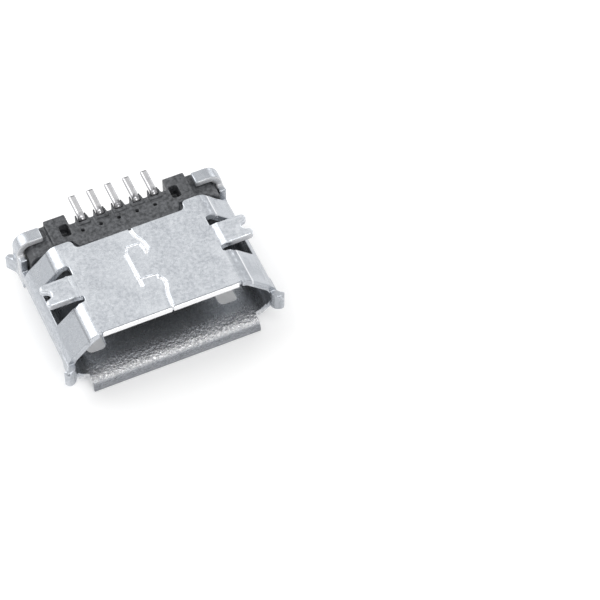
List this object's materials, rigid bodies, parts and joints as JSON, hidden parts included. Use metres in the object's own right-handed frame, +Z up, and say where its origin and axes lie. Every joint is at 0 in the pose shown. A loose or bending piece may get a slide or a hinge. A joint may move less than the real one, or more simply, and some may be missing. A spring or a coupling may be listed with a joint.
{
  "type": "micro usb board socket",
  "caption": "Surface-mount micro USB type B socket: a folded plated shell with a flared lip, forked solder tabs and a locked seam, a black insulator and flat contact tails.",
  "frame": {"origin": "bottom centre of the whole part as it lies, in the middle plane of the socket", "axes": "+Z up, out of the face that meets the board; the mouth opens towards -Y and the contact tails point to +Y; +X is right, seen from the mouth"},
  "size_m": [0.008, 0.006, 0.0027],
  "materials": {
    "plated_shell": "satin",
    "black_moulding": "satin",
    "plated_contact": "bright"
  },
  "bodies": {
    "root": {"shell": "plated_shell", "insulator": "black_moulding", "contact_1": "plated_contact", "contact_2": "plated_contact", "contact_3": "plated_contact", "contact_4": "plated_contact", "contact_5": "plated_contact"}
  },
  "joints": []
}
